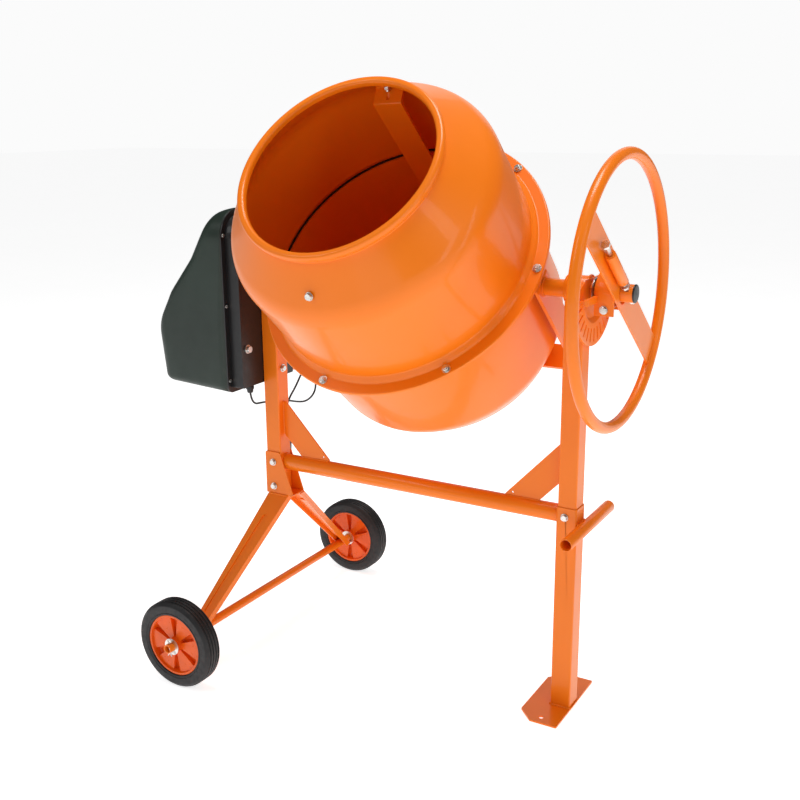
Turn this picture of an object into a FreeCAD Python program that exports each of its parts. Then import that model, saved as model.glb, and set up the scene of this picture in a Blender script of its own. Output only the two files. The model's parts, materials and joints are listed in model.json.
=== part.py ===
import FreeCAD, Part
import Sketcher, PartDesign
import math, os

V3 = FreeCAD.Vector
Rot = FreeCAD.Rotation
Place = FreeCAD.Placement

doc = FreeCAD.newDocument("concrete_mixer")
sheet = doc.addObject("Spreadsheet::Sheet", "dims")

# ---------------------------------------------------------------- sizes (millimetres, degrees)
TABLE = [
    ("move_x", 76.206), ("move_y", 0.489),
    ("tilt_height", 932.6), ("lean_angle", 48.7),
    ("post_x", 383.0), ("post_side", 42.0), ("post_wall", 2.5),
    ("sleeve_radius", 29.0), ("bush_radius", 21.0), ("trunnion_radius", 18.0),
    ("leg_side", 46.0), ("leg_wall", 1.8), ("leg_top", 471.7),
    ("plate_thick", 4.0),
    ("handle_radius", 13.5), ("handle_bore", 11.5), ("handle_height", 430.0),
    ("cross_radius", 19.4), ("cross_bore", 17.0), ("cross_height", 450.0),
    ("wheel_radius", 104.0), ("wheel_width", 47.0), ("rim_radius", 73.6),
    ("axle_x", -423.3), ("axle_radius", 10.5), ("axle_bore", 8.0),
    ("near_wheel_y", -350.5), ("far_wheel_y", 385.5),
    ("drum_radius", 292.0), ("sheet_thick", 2.5),
    ("shoulder_height", 285.0), ("shoulder_round", 70.0),
    ("mouth_radius", 209.0), ("mouth_height", 376.7), ("bead_radius", 8.0),
    ("flange_radius", 326.5), ("flange_height", 66.0),
    ("bowl_height", -190.0), ("bowl_bottom", -270.0), ("bowl_radius", 243.0),
    ("ring_teeth", 96.0), ("pinion_teeth", 12.0),
    ("pulley_radius", 95.0), ("shaft_radius", 10.0),
    ("hand_wheel_x", 474.3), ("hand_wheel_radius", 268.0), ("hand_wheel_tube", 12.0),
    ("spoke_width", 66.0), ("spoke_angle", -37.2),
    ("index_radius", 111.0), ("index_x", 415.5),
    ("motor_height", 743.0), ("cover_half", 112.0),
    ("cord_diameter", 5.0),
]
sheet.set("A1", "name")
sheet.set("B1", "value")
for _i, (_n, _v) in enumerate(TABLE):
    sheet.set("A%d" % (_i + 2), _n)
    sheet.set("B%d" % (_i + 2), repr(_v))
    sheet.setAlias("B%d" % (_i + 2), _n)
doc.recompute()


def dim(name):
    return float(sheet.get(name))


MX, MY = dim("move_x"), dim("move_y")
ZT = dim("tilt_height")
LEAN = dim("lean_angle")
PX = dim("post_x")
SHIFT = Place(V3(MX, MY, 0), Rot())
TILT = Place(V3(MX, MY, ZT), Rot(V3(1, 0, 0), LEAN))


def along_x(x, y=0.0, z=0.0):
    """body frame whose Z runs along +X, whose X points down and whose Y is Y"""
    return Place(V3(MX + x, MY + y, z), Rot(V3(0, 1, 0), 90))


def along_y(x, y, z):
    """body frame whose Z runs along +Y, whose X is X and whose Y points down"""
    return Place(V3(MX + x, MY + y, z), Rot(V3(1, 0, 0), -90))


NODES = []


def keep(obj, name):
    obj.Label = name
    NODES.append((name, obj))
    return obj


# ---------------------------------------------------------------- outlines
def ring(x, y, r):
    return [Part.Circle(V3(x, y, 0), V3(0, 0, 1), r)]


def loop(points):
    """closed outline of straight sides with rounded corners, points are (x, y) or (x, y, corner radius)"""
    pts = [(float(p[0]), float(p[1]), float(p[2]) if len(p) > 2 else 0.0) for p in points]
    n = len(pts)
    ends, arcs = [], []
    for i in range(n):
        a, b, c = V3(*pts[i - 1][:2], 0), V3(*pts[i][:2], 0), V3(*pts[(i + 1) % n][:2], 0)
        r = pts[i][2]
        if r <= 0:
            ends.append((b, b))
            arcs.append(None)
            continue
        u, w = (a - b).normalize(), (c - b).normalize()
        half = u.getAngle(w) / 2
        cut = r / math.tan(half)
        mid = (u + w).normalize()
        centre = b + mid * (r / math.sin(half))
        ends.append((b + u * cut, b + w * cut))
        arcs.append(Part.Arc(b + u * cut, centre - mid * r, b + w * cut))
    out = []
    for i in range(n):
        if arcs[i] is not None:
            out.append(arcs[i])
        p, q = ends[i][1], ends[(i + 1) % n][0]
        if (q - p).Length > 1e-6:
            out.append(Part.LineSegment(p, q))
    return out


def square(side, corner=0.0, x=0.0, y=0.0):
    s = side / 2.0
    return loop([(x - s, y - s, corner), (x + s, y - s, corner), (x + s, y + s, corner), (x - s, y + s, corner)])


def rect(x0, x1, y0, y1, corner=0.0):
    return loop([(x0, y0, corner), (x1, y0, corner), (x1, y1, corner), (x0, y1, corner)])


def slot(x0, y0, x1, y1, r):
    a, b = V3(x0, y0, 0), V3(x1, y1, 0)
    u = (b - a).normalize()
    s = V3(-u.y, u.x, 0) * r
    return [
        Part.LineSegment(a + s, b + s),
        Part.Arc(b + s, b + u * r, b - s),
        Part.LineSegment(b - s, a - s),
        Part.Arc(a - s, a - u * r, a + s),
    ]


# ---------------------------------------------------------------- bodies made of sketched features
class Node:
    def __init__(self, name, place=None, group=False):
        self.name = name
        self.body = doc.addObject("PartDesign::Body", name)
        if group and hasattr(self.body, "AllowCompound"):
            self.body.AllowCompound = True
        self.body.Placement = place if place is not None else SHIFT
        keep(self.body, name)

    def origin(self, role):
        for o in self.body.Origin.OriginFeatures:
            if o.Role == role:
                return o

    def sketch(self, role, loops, offset):
        sk = self.body.newObject("Sketcher::SketchObject", self.name + "_sketch")
        sk.AttachmentSupport = [(self.origin(role), "")]
        sk.MapMode = "FlatFace"
        sk.AttachmentOffset = Place(V3(0, 0, offset), Rot())
        for one in loops:
            for g in one:
                sk.addGeometry(g, False)
        return sk

    def feature(self, kind, sk, length, bind):
        f = self.body.newObject("PartDesign::" + kind, self.name + "_" + kind.lower())
        f.Profile = sk
        f.Length = length
        if bind:
            f.setExpression("Length", bind)
        sk.Visibility = False
        self.last = f
        return f

    def pad_z(self, loops, z0, z1, bind=None):
        return self.feature("Pad", self.sketch("XY_Plane", loops, z0), z1 - z0, bind)

    def pad_x(self, loops, x0, x1, bind=None):
        return self.feature("Pad", self.sketch("YZ_Plane", loops, x0), x1 - x0, bind)

    def pad_y(self, loops, y0, y1, bind=None):
        return self.feature("Pad", self.sketch("XZ_Plane", loops, -y1), y1 - y0, bind)

    def cut_z(self, loops, z0, z1):
        return self.feature("Pocket", self.sketch("XY_Plane", loops, z1), z1 - z0, None)

    def cut_x(self, loops, x0, x1):
        return self.feature("Pocket", self.sketch("YZ_Plane", loops, x1), x1 - x0, None)

    def cut_y(self, loops, y0, y1):
        return self.feature("Pocket", self.sketch("XZ_Plane", loops, -y0), y1 - y0, None)

    def turn(self, loops, kind="Revolution"):
        """turned about the body's Z; the outline is (radius, height)"""
        sk = self.sketch("XZ_Plane", loops, 0)
        f = self.body.newObject("PartDesign::" + kind, self.name + "_turn")
        f.Profile = sk
        f.ReferenceAxis = (sk, ["V_Axis"])
        f.Angle = 360.0
        sk.Visibility = False
        self.last = f
        return f

    def polar(self, features, count, angle=360.0):
        f = self.body.newObject("PartDesign::PolarPattern", self.name + "_polar")
        f.Originals = features
        f.Axis = (self.origin("Z_Axis"), [""])
        f.Angle = angle
        f.Occurrences = int(count)
        self.body.Tip = f
        self.last = f
        return f


def solid(name, shape, place=None):
    """free shape where neither sketched features nor primitives fit"""
    o = doc.addObject("Part::Feature", name)
    o.Shape = shape
    o.Placement = place if place is not None else SHIFT
    return keep(o, name)


# ---------------------------------------------------------------- fasteners
def hexagon(across, height):
    r = across / math.sqrt(3.0)
    pts = [V3(r * math.cos(math.radians(60 * k + 30)), r * math.sin(math.radians(60 * k + 30)), 0) for k in range(6)]
    prism = Part.Face(Part.makePolygon(pts + [pts[0]])).extrude(V3(0, 0, height))
    cone = Part.makeCone(r * 1.0, across / 2.0 * 0.9, height * 0.0 + 1e-3 + 0.12 * across)
    top = Part.makeCylinder(r * 1.01, height - 0.12 * across)
    cone.translate(V3(0, 0, height - 0.12 * across))
    return prism.common(top.fuse(cone))


def bolt(shank, grip0, grip1, across, head, washer_r, washer_t, nut=True, tail=4.0, washer2=True):
    """bolt along +Z gripping from grip0 to grip1, head below grip0; washers and nut outside the grip"""
    parts = [Part.makeCylinder(shank, grip1 - grip0 + 2 * washer_t + (head if nut else 0) + tail, V3(0, 0, grip0 - washer_t))]
    h = hexagon(across, head)
    h.rotate(V3(0, 0, 0), V3(1, 0, 0), 180)
    h.translate(V3(0, 0, grip0 - washer_t))
    parts.append(h)
    parts.append(Part.makeCylinder(washer_r, washer_t, V3(0, 0, grip0 - washer_t)))
    if nut:
        k = hexagon(across, head)
        k.translate(V3(0, 0, grip1 + washer_t))
        parts.append(k)
        parts.append(Part.makeCylinder(washer_r, washer_t, V3(0, 0, grip1)))
    out = parts[0].fuse(parts[1:])
    return out.removeSplitter()


def placed(shape, place):
    s = shape.copy()
    s.Placement = place
    return s


TO_Y = Rot(V3(1, 0, 0), -90)
FROM_Y = Rot(V3(1, 0, 0), 90)
TO_X = Rot(V3(0, 1, 0), 90)
FROM_X = Rot(V3(0, 1, 0), -90)

S2 = dim("post_side") / 2.0
SR, BR, TR = dim("sleeve_radius"), dim("bush_radius"), dim("trunnion_radius")

# ================================================================ stand: posts and feet
n = Node("upright_left")
n.pad_z([square(2 * S2, 3, -PX, 0), square(2 * S2 - 2 * dim("post_wall"), 1.5, -PX, 0)], 373.2, 913.0)
n.pad_x([ring(0, ZT, SR)], -403.5, -361.0)
n.cut_x([ring(0, ZT, BR)], -420.0, -340.0)
n.cut_y([ring(-PX, 451.0, 4.2), ring(-PX, 389.0, 4.2)], -40, 40)
n.cut_x([ring(0, 686.0, 4.2), ring(0, 850.0, 4.2)], -420, -340)

n = Node("upright_right")
n.pad_z([square(2 * S2, 3, PX, 0), square(2 * S2 - 2 * dim("post_wall"), 1.5, PX, 0)], 412.0, 913.0)
n.pad_x([ring(0, ZT, SR)], 361.0, 409.5)
n.cut_x([ring(0, ZT, BR)], 340.0, 420.0)
n.cut_y([ring(379.0, 450.5, 4.2)], -40, 40)

L2 = dim("leg_side") / 2.0
n = Node("lower_leg")
n.pad_z([square(2 * L2, 3.5, PX, 0), square(2 * L2 - 2 * dim("leg_wall"), 2.0, PX, 0)], 4.0, dim("leg_top"))
n.cut_y([ring(379.0, 450.5, 4.2)], -40, 40)

n = Node("foot_plate")
n.pad_z([loop([(311, -70, 3), (345, -104, 3), (407, -104, 3), (407, 117, 3), (345, 117, 3), (311, 83, 3)]),
         ring(364, -83, 5.5), ring(364, 95, 5.5)], 0.0, 4.0, "dims.plate_thick")

n = Node("foot_handle")
n.pad_y([ring(PX + L2 + dim("handle_radius"), dim("handle_height"), dim("handle_radius")),
         ring(PX + L2 + dim("handle_radius"), dim("handle_height"), dim("handle_bore"))], -117.0, 139.0)

CZ = dim("cross_height")
n = Node("cross_tube")
n.pad_x([ring(0, CZ, dim("cross_radius")), ring(0, CZ, dim("cross_bore"))], -PX + S2, PX - L2)

n = Node("gusset_left")
gl = n
n.pad_y([loop([(-362, 604, 0), (-356, 604, 3), (-232, 473, 3), (-232, 469.6, 0), (-312, 469.6, 0), (-362, 522, 0)])], -2.0, 2.0,
        "dims.plate_thick")
n.cut_y([ring(-249, 478, 2.5)], -4, 4)

n = Node("gusset_right")
n.pad_y([loop([(362, 604, 0), (362, 522, 0), (312, 469.6, 0), (232, 469.6, 0), (232, 473, 3), (356, 604, 3)])], -2.0, 2.0,
        "dims.plate_thick")
n.cut_y([ring(249, 478, 2.5)], -4, 4)
gr = n


def together(name, parts):
    """several equal loose pieces kept as one group"""
    for p in parts:
        NODES[:] = [q for q in NODES if q[1] is not p]
    o = doc.addObject("Part::Compound", name)
    o.Links = parts
    return keep(o, name)


together("gussets", [gl.body, gr.body])

# wheel bracket: a folded channel around the foot of the left post
n = Node("wheel_bracket")
n.pad_z([rect(-406, -328, -24, 24)], 370.0, 373.0)
side = [loop([(-406, 373), (-328, 373, 2), (-363, 477, 6), (-406, 477, 4)])]
n.pad_y(side, -24.0, -21.0)
n.pad_y(side, 21.0, 24.0)
n.cut_y([ring(-PX, 451.0, 4.2), ring(-PX, 389.0, 4.2)], -40, 40)

# wheel legs: tapered pressed channels with a pressed groove, cut off level at both ends
AX, AZ = dim("axle_x"), dim("wheel_radius")


def wheel_leg(name, side, x_top, y_top, y_axle):
    top, low = V3(x_top, side * y_top, 370), V3(AX, side * y_axle, AZ)
    run = (low - top).normalize()
    up = run * -1
    cross = (V3(1, 0, 0) - up * up.x).normalize()
    out = cross.cross(up)
    if out.y * side < 0:
        cross = cross * -1
        out = cross.cross(up)
    length = (low - top).Length
    m = FreeCAD.Matrix(cross.x, up.x, out.x, MX + low.x, cross.y, up.y, out.y, MY + low.y,
                       cross.z, up.z, out.z, low.z, 0, 0, 0, 1)
    b = doc.addObject("PartDesign::Body", name + "_pressing")
    b.Placement = Place(m)
    b.Label = name + "_pressing"
    node = Node.__new__(Node)
    node.name, node.body = name, b

    def half(t):
        return 15.5 + (29.5 - 15.5) * t
    a, c = -60.0, length + 60.0
    ha, hc = half(a / length), half(c / length)
    node.pad_z([loop([(-ha, a), (ha, a), (hc, c), (-hc, c)])], -15.0, 0.0)
    node.cut_z([loop([(-ha + 3, a - 5), (ha - 3, a - 5), (hc - 3, c + 5), (-hc + 3, c + 5)])], -20.0, -3.0)
    g0, g1 = 0.16 * length, 0.83 * length
    node.pad_z([slot(0, g0, 0, g1, 9.5)], -5.9, -2.9)
    node.cut_z([slot(0, g0, 0, g1, 7.0)], -3.1, 0.5)
    slab = doc.addObject("Part::Box", name + "_slab")
    slab.Length, slab.Width, slab.Height = 400, 900, 278
    slab.Placement = Place(V3(MX + AX - 200, MY - 450, 92), Rot())
    level = doc.addObject("Part::Common", name + "_level")
    level.Base, level.Tool = b, slab
    hole = doc.addObject("Part::Cylinder", name + "_hole")
    hole.setExpression("Radius", "dims.axle_radius + 0.3")
    hole.Height = 900
    hole.Placement = Place(V3(MX + AX, MY - 450, AZ), TO_Y)
    cut = doc.addObject("Part::Cut", name)
    cut.Base, cut.Tool = level, hole
    keep(cut, name)


wheel_leg("wheel_leg_near", -1.0, -371.0, 24.0, 306.0)
wheel_leg("wheel_leg_far", 1.0, -356.0, 24.0, 341.0)

# axle tube, washers and split pins
AR = dim("axle_radius")
n = Node("axle_tube", along_y(AX, 0, AZ))
n.pad_z([ring(0, 0, AR), ring(0, 0, dim("axle_bore"))], -393.0, 428.0)
n.cut_y([ring(0, -385.0, 1.9), ring(0, 420.0, 1.9)], -20, 20)

NY, FY = dim("near_wheel_y"), dim("far_wheel_y")
washers = [(NY - 28.3, 2.0), (NY + 26.3, 2.0), (FY - 28.3, 2.0), (FY + 26.3, 2.0)]
solid_list = [Part.makeCylinder(20, t, V3(0, 0, y)).cut(Part.makeCylinder(AR + 0.3, t + 2, V3(0, 0, y - 1))) for y, t in washers]
solid("axle_washers", Part.makeCompound(solid_list), along_y(AX, 0, AZ))


def split_pin():
    shank = Part.makeCylinder(1.6, 27.0, V3(0, 0, -13.5))
    eye = Part.makeTorus(4.6, 1.6, V3(0, 0, 17.2), V3(0, 1, 0))
    tails = []
    for s in (-1, 1):
        tail = Part.makeCylinder(1.1, 9.0)
        tail.Placement = Place(V3(s * 0.3, 0, -13.0), Rot(V3(0, 1, 0), 180 - s * 38))
        tails.append(tail)
    return shank.fuse([eye] + tails)


pins = [placed(split_pin(), Place(V3(AX, y, AZ), Rot(V3(0, 1, 0), a))) for y, a in ((-385.0, 0.0), (420.0, 0.0))]
solid("split_pins", Part.makeCompound(pins))

# frame bolts through the bracket (two) and through the leg joint (one)
grip = 26.0
bolts = []
for bx, bz, g in ((-PX, 451.0, 24.0), (-PX, 389.0, 24.0), (379.0, 450.5, 23.0)):
    b = bolt(4.0, -g, g, 13.0, 5.5, 8.5, 1.5)
    bolts.append(placed(b, Place(V3(bx, 0, bz), TO_Y)))
hb = bolts
for z in (686.0, 850.0):
    b = bolt(4.0, -21.0, 24.2, 13.0, 5.5, 9.5, 1.5, tail=0.5)
    hb.append(placed(b, Place(V3(-PX, 0, z), FROM_X)))
solid("stand_bolts", Part.makeCompound(hb))

bl = Node("trunnion_bush_left", along_x(0, 0, ZT))
bl.pad_z([ring(0, 0, BR), ring(0, 0, TR + 0.05)], -403.5, -361.0)
br = Node("trunnion_bush_right", along_x(0, 0, ZT))
br.pad_z([ring(0, 0, BR), ring(0, 0, TR + 0.05)], 361.0, 409.5)
together("trunnion_bushes", [bl.body, br.body])

# index plate: dished sector with radial slots, welded to the right bearing sleeve
IX = dim("index_x")
n = Node("index_plate", along_x(0, 0, ZT))
n.turn([loop([(18.6, 409.5), (56, 409.5, 4), (66, IX, 4), (dim("index_radius"), IX), (dim("index_radius"), IX + 4),
              (64.5, IX + 4, 4), (54.5, 413.5, 4), (18.6, 413.5)])])
n.cut_z([loop([(-130, -130), (-130, 130), (4, 130), (-26, 60, 12), (-26, -60, 12), (4, -130)])], 400, 430)
first = n.cut_z([slot(78 * math.cos(math.radians(-84)), 78 * math.sin(math.radians(-84)),
                      101 * math.cos(math.radians(-84)), 101 * math.sin(math.radians(-84)), 2.6)], 400, 430)
n.polar([first], 15, 168.0)

# ================================================================ motor housing
HC = dim("cover_half")
MZ = dim("motor_height")


def cover_outline(inset):
    h = HC - inset
    return loop([(-h, 638 + inset, max(2.0, 16 - inset)), (h, 638 + inset, max(2.0, 16 - inset)),
                 (h, 1068 - inset, 66 - inset), (-h, 1068 - inset, 66 - inset)])


SIDE = [(-641, 652, 24), (-660, 790, 90), (-618, 872, 60), (-556, 957, 60), (-530, 1012, 40), (-505, 1068, 40), (-442, 1068, 0), (-442, 640, 0)]


def side_outline(inset):
    """the stepped side of the cover in X and Z, taken in by a wall thickness"""
    pts = [V3(p[0], p[1], 0) for p in SIDE]
    n_ = len(pts)
    out = []
    for i in range(n_):
        a, b, c = pts[i - 1], pts[i], pts[(i + 1) % n_]
        u, w = (b - a).normalize(), (c - b).normalize()
        nu, nw = V3(u.y, -u.x, 0), V3(w.y, -w.x, 0)
        bis = (nu + nw)
        k = inset / (1.0 + nu.dot(nw))
        q = b + bis * k
        x = q.x
        if SIDE[i][0] == -442:
            x = -442 + (0 if inset == 0 else 1)
        out.append((x, q.y, max(1.0, SIDE[i][2] - inset) if SIDE[i][2] else 0))
    return loop(out)


# the cover is the plan outline and the side outline together, hollowed
def tidy(edges):
    return Part.Face(Part.Wire(Part.__sortEdges__([e.toShape() for e in edges])))


def cover_solid(inset):
    a = tidy(cover_outline(inset))
    a.Placement = Place(V3(-665, 0, 0), Rot(V3(1, 1, 1), 120))
    prism_a = a.extrude(V3(224 if inset else 223, 0, 0))
    s = tidy(side_outline(inset))
    s.Placement = Place(V3(0, 130, 0), Rot(V3(1, 0, 0), 90))
    prism_s = s.extrude(V3(0, -260, 0))
    return prism_a.common(prism_s)


cover = cover_solid(0.0)
hollow = cover_solid(3.0)
solid("guard_cover", cover.cut(hollow))

# black inner tray: rim flange, body box, ribs, openings for shaft and bolts
n = Node("guard_tray")
n.pad_x([cover_outline(0), cover_outline(16)], -442.0, -438.5)
n.pad_x([cover_outline(13), cover_outline(16)], -438.5, -407.0)
n.pad_x([cover_outline(13)], -407.0, -404.0)
n.cut_x([ring(0, ZT, 30.5)], -420, -400)
n.cut_x([ring(0, 686.0, 4.2), ring(0, 850.0, 4.2), ring(-77, MZ, 4.4), ring(77, MZ, 4.4)], -420, -400)

screws = []
for y, z in ((-105.5, 1010.0), (-105.5, 846.0), (-105.5, 668.0), (105.5, 1010.0), (105.5, 846.0), (105.5, 668.0), (-40.0, 1061.5), (40.0, 1061.5)):
    s = Part.makeCylinder(2.0, 3.5, V3(0, 0, -3.5)).fuse(Part.makeCylinder(4.2, 2.2).fuse(Part.makeSphere(4.2, V3(0, 0, 1.0)).common(Part.makeCylinder(4.2, 2.8, V3(0, 0, 0.2)))))
    screws.append(placed(s, Place(V3(-438.5, y, z), TO_X)))
n.cut_x([ring(y, z, 2.1) for y, z in ((-105.5, 1010.0), (-105.5, 846.0), (-105.5, 668.0), (105.5, 1010.0), (105.5, 846.0), (105.5, 668.0), (-40.0, 1061.5), (40.0, 1061.5))], -445, -436)
solid("cover_screws", Part.makeCompound(screws))

# motor on its two through bolts
n = Node("motor_stator", along_x(0, 0, MZ))
n.turn([loop([(9, -470), (96, -470), (96, -476, 2), (64, -476, 2), (64, -612, 6), (40, -624, 6), (20, -624), (20, -618), (60, -606), (60, -482), (9, -482)])])
fin = n.pad_z([rect(-1.5, 1.5, 60.5, 70)], -604.0, -484.0)
n.polar([fin], 24)
n.cut_z([ring(0, -77, 4.4), ring(0, 77, 4.4)], -480, -460)
mb = []
for y in (-77.0, 77.0):
    b = bolt(4.2, 0.0, 72.0, 16.0, 6.5, 10.5, 2.0)
    mb.append(placed(b, Place(V3(-404.0, y, MZ), FROM_X)))
solid("motor_mount_bolts", Part.makeCompound(mb))

# V-belt round both pulleys
PR = dim("pulley_radius")
CD = ZT - MZ
R1, R2 = PR - 9.0, 11.0


def belt_loop(r1, r2, d):
    a = math.asin((r1 - r2) / d)
    c1, c2 = V3(0, 0, 0), V3(d, 0, 0)
    def pt(c, r, ang):
        return V3(c.x + r * math.cos(ang), c.y + r * math.sin(ang), 0)
    t = math.pi / 2 - a
    p1, p2 = pt(c1, r1, t), pt(c2, r2, t)
    q1, q2 = pt(c1, r1, -t), pt(c2, r2, -t)
    return [Part.LineSegment(p1, p2), Part.Arc(p2, pt(c2, r2, 0), q2), Part.LineSegment(q2, q1), Part.Arc(q1, pt(c1, r1, math.pi), p1)]


n = Node("v_belt", along_x(-425.0, 0, ZT))
n.pad_z([belt_loop(R1 + 7.0, R2 + 7.0, CD), belt_loop(R1, R2, CD)], -4.0, 4.0)

# switch box and its two buttons, on the far side of the cover
n = Node("switch_box")
n.pad_y([rect(-572, -508, 712, 808, 8), rect(-569, -511, 715, 805, 6)], HC, 133.0)
n.pad_y([rect(-572, -508, 712, 808, 8), ring(-540, 782, 9.4), ring(-540, 738, 9.4)], 133.0, 136.0)
for name, z in (("button_start", 782.0), ("button_stop", 738.0)):
    n = Node(name, along_y(-540, 0, z))
    n.turn([loop([(0, 122), (11.5, 122), (11.5, 126), (9, 126), (9, 140.5, 1.5), (0, 140.5)])])

# ================================================================ supply lead
PATH = [(-440, -30, 622), (-441, -24, 590), (-444, 24, 584), (-446, 75, 576), (-447, 125, 565), (-447, 172, 549), (-446, 212, 541),
        (-444, 248, 556), (-441, 251, 590), (-438, 233, 624), (-435, 206, 646), (-434, 177, 628), (-434, 150, 598), (-433, 113, 570),
        (-433, 96, 532), (-433, 93, 494)]
CR = dim("cord_diameter") / 2.0


def cord_wire(points):
    pts = [V3(*p) for p in points]
    edges, last = [], pts[0]
    for i in range(1, len(pts) - 1):
        a, b, c = pts[i - 1], pts[i], pts[i + 1]
        u, w = (a - b), (c - b)
        short = min(u.Length, w.Length)
        u.normalize()
        w.normalize()
        cut = 0.45 * short
        half = u.getAngle(w) / 2
        r = cut * math.tan(half)
        mid = (u + w).normalize()
        centre = b + mid * (r / math.sin(half))
        p, q = b + u * cut, b + w * cut
        edges.append(Part.LineSegment(last, p).toShape())
        edges.append(Part.Arc(p, centre - mid * r, q).toShape())
        last = q
    edges.append(Part.LineSegment(last, pts[-1]).toShape())
    return Part.Wire(edges)


wire = cord_wire(PATH)
start = V3(*PATH[0])
first_dir = (V3(*PATH[1]) - start).normalize()
circle = Part.Wire(Part.makeCircle(CR, start, first_dir))
solid("supply_cord", wire.makePipeShell([circle], True, True))
least = 1e9
for i in range(1, len(PATH) - 1):
    a, b, c = V3(*PATH[i - 1]), V3(*PATH[i]), V3(*PATH[i + 1])
    u, w = a - b, c - b
    s = min(u.Length, w.Length)
    turn = math.pi - u.getAngle(w)
    least = min(least, 0.45 * s / math.tan(turn / 2))
print("cord length %.1f smallest bend radius %.1f longest run %.1f" % (
    wire.Length, least, max((V3(*PATH[i + 1]) - V3(*PATH[i])).Length for i in range(len(PATH) - 1))))

n = Node("cable_gland", Place(V3(MX - 440, MY - 30, 0), Rot()))
g = n.turn([loop([(CR + 0.35, 622), (7, 622, 2), (8.5, 632, 1), (10, 632), (10, 638), (CR + 0.35, 638)])])

last = V3(*PATH[-1])
before = V3(*PATH[-2])
pd = (last - before).normalize()
plug_rot = Rot(V3(0, 0, 1), pd)
n = Node("plug", Place(V3(MX + last.x, MY + last.y, last.z), plug_rot))
n.turn([loop([(0, 0), (5, 0, 2), (7, 16, 4), (15, 24, 4), (18.5, 32, 3), (18.5, 48), (17, 50), (0, 50)])])
n.pad_z([ring(-9.5, 0, 2.4), ring(9.5, 0, 2.4)], 50.0, 69.0)

# bracket that the lead is looped over, behind the housing
n = Node("cord_hook")
n.pad_x([loop([(112, 690), (112, 655, 4), (203, 624, 5), (211, 632, 5), (205, 640, 4), (118, 690, 2)])], -456.0, -453.0)
n.pad_y([rect(-456, -444, 655, 690, 1)], HC, HC + 2.5)
n.pad_x([ring(205, 631.5, 4.5)], -453.5, -424.0)

# ================================================================ yoke
YX = 311.0
n = Node("yoke_bar", TILT)
outer = [(-330, 24, 10), (-330, -302, 40), (YX, -302, 40), (YX, 24, 10), (YX - 8, 24, 0), (YX - 8, -294, 32), (-322, -294, 32), (-322, 24, 0)]
n.pad_y([loop(outer)], -30.0, 30.0)
n.cut_x([ring(0, 0, 13.0)], -340, -310)
n.cut_z([ring(0, 0, 10.2)], -315, -285)

n = Node("trunnion_right", along_x(0, 0, ZT))
n.pad_z([ring(0, 0, TR), ring(0, 0, 14.0)], YX, 500.0)
n = Node("trunnion_left", along_x(0, 0, ZT))
n.pad_z([ring(0, 0, TR), ring(0, 0, 13.0)], -402.0, -330.0)
n = Node("shaft_bushes", along_x(0, 0, ZT))
n.pad_z([ring(0, 0, 13.0), ring(0, 0, dim("shaft_radius") + 0.05)], -402.0, -322.0)
n = Node("end_plug", along_x(0, 0, ZT))
n.turn([loop([(0, 494), (14, 494), (14, 500), (18.5, 500), (18.5, 503, 2), (0, 504.5)])])

n = Node("spindle", TILT)
n.turn([loop([(0, -311), (10, -311), (10, -294), (24, -294), (24, -288), (15, -288), (15, -241), (10, -237), (0, -237)])])

# ================================================================ drum
DR, ST = dim("drum_radius"), dim("sheet_thick")
SH, SF = dim("shoulder_height"), dim("shoulder_round")
MR, MH, BD = dim("mouth_radius"), dim("mouth_height"), dim("bead_radius")
FR, FH = dim("flange_radius"), dim("flange_height")
n = Node("upper_shell", TILT)
n.turn([loop([(FR, FH - 9, 1), (FR, FH, 3), (303, FH, 3), (300, FH + 4.5, 2), (DR, FH + 12, 8), (DR, SH, SF), (MR + 3, MH - 12, 3),
              (MR + BD, MH - 4, 4), (MR + BD, MH + BD, 7.9), (MR - BD, MH + BD, 7.9), (MR - BD, MH - 6, 4), (MR + 0.6, MH - 12, 3),
              (DR - ST, SH - 1.5, SF - ST), (DR - ST, FH + 11, 6), (298, FH + 3.0, 2), (300, FH - ST, 0), (FR - ST, FH - ST, 1), (FR - ST, FH - 9, 1)])])
bolt_r = 313.7
hole = n.cut_z([ring(bolt_r, 0, 4.2)], FH - 12, FH + 3)
n.polar([hole], 7)

BH, BB, BRD = dim("bowl_height"), dim("bowl_bottom"), dim("bowl_radius")
SEAL0, SEAL1 = FH - ST - 2.0, FH - ST
n = Node("lower_shell", TILT)
n.turn([loop([(FR - ST - 1.5, SEAL0), (FR - ST - 1.5, SEAL0 - ST), (DR + 6, SEAL0 - ST, 4), (DR + 1, SEAL0 - 10, 4), (DR - 5, BH, 60), (BRD, BB, 40), (24, BB),
              (24, BB + ST), (BRD - 1, BB + ST, 38), (DR - 5 - ST, BH, 58), (DR + 1 - ST, SEAL0 - 10, 4), (DR - ST + 2, SEAL0, 0)])])
hole = n.cut_z([ring(bolt_r, 0, 4.2)], SEAL0 - 6, SEAL0 + 1)
n.polar([hole], 7)
hub_hole = n.cut_z([ring(42, 0, 4.2)], BB - 2, BB + ST + 2)
n.polar([hub_hole], 6)

n = Node("seam_seal", TILT)
n.turn([loop([(295, SEAL0), (FR - ST - 3, SEAL0), (FR - ST - 3, SEAL1), (295, SEAL1)])])
hole = n.cut_z([ring(bolt_r, 0, 4.2)], SEAL0 - 1, SEAL1 + 1)
n.polar([hole], 7)

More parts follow.
